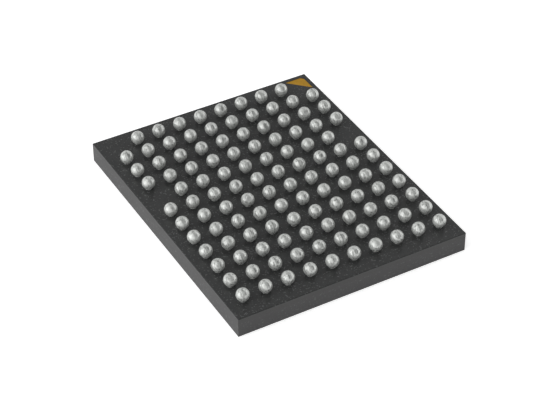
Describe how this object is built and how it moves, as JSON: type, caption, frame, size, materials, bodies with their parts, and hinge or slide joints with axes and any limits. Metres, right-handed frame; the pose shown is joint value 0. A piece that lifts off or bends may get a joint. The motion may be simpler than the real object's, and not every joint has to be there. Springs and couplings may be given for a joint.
{
  "type": "microcontroller",
  "caption": "Microcontroller in a thin moulded ball grid package, with solder balls on one face and a gold corner mark.",
  "frame": {"origin": "centre of the flat moulded face that the part rests on", "axes": "+Z from the moulded face towards the solder balls, +X along the rows of ten balls towards column 1, +Y along the columns of twelve balls towards row A"},
  "size_m": [0.0052, 0.0064, 0.0007],
  "materials": {
    "mould_compound": "matt charcoal epoxy moulding compound, saw-cut at the sides",
    "solder_mask": "smooth dark grey solder mask with a soft sheen",
    "laminate": "dark glass-fibre laminate, saw-cut at the sides",
    "solder": "satin tin alloy, bright with a fine grain",
    "gold_plating": "soft gold plating over copper",
    "silicon": "polished grey silicon",
    "die_film": "thin adhesive film"
  },
  "bodies": {
    "root": {"mould_cap": "mould_compound", "silicon_die": "silicon", "die_attach_film": "die_film", "bond_wires_right": "gold_plating", "bond_wires_left": "gold_plating", "bond_wires_back": "gold_plating", "bond_wires_front": "gold_plating", "bond_fingers_right": "gold_plating", "bond_fingers_left": "gold_plating", "bond_fingers_back": "gold_plating", "bond_fingers_front": "gold_plating", "solder_mask_die_side": "solder_mask", "laminate_core": "laminate", "solder_mask_ball_side": "solder_mask", "corner_mark": "gold_plating", "solder_balls_row_a": "solder", "solder_balls_row_b": "solder", "solder_balls_row_c": "solder", "solder_balls_row_d": "solder", "solder_balls_row_e": "solder", "solder_balls_row_f": "solder", "solder_balls_row_g": "solder", "solder_balls_row_h": "solder", "solder_balls_row_j": "solder", "solder_balls_row_k": "solder", "solder_balls_row_l": "solder", "solder_balls_row_m": "solder"}
  },
  "joints": []
}
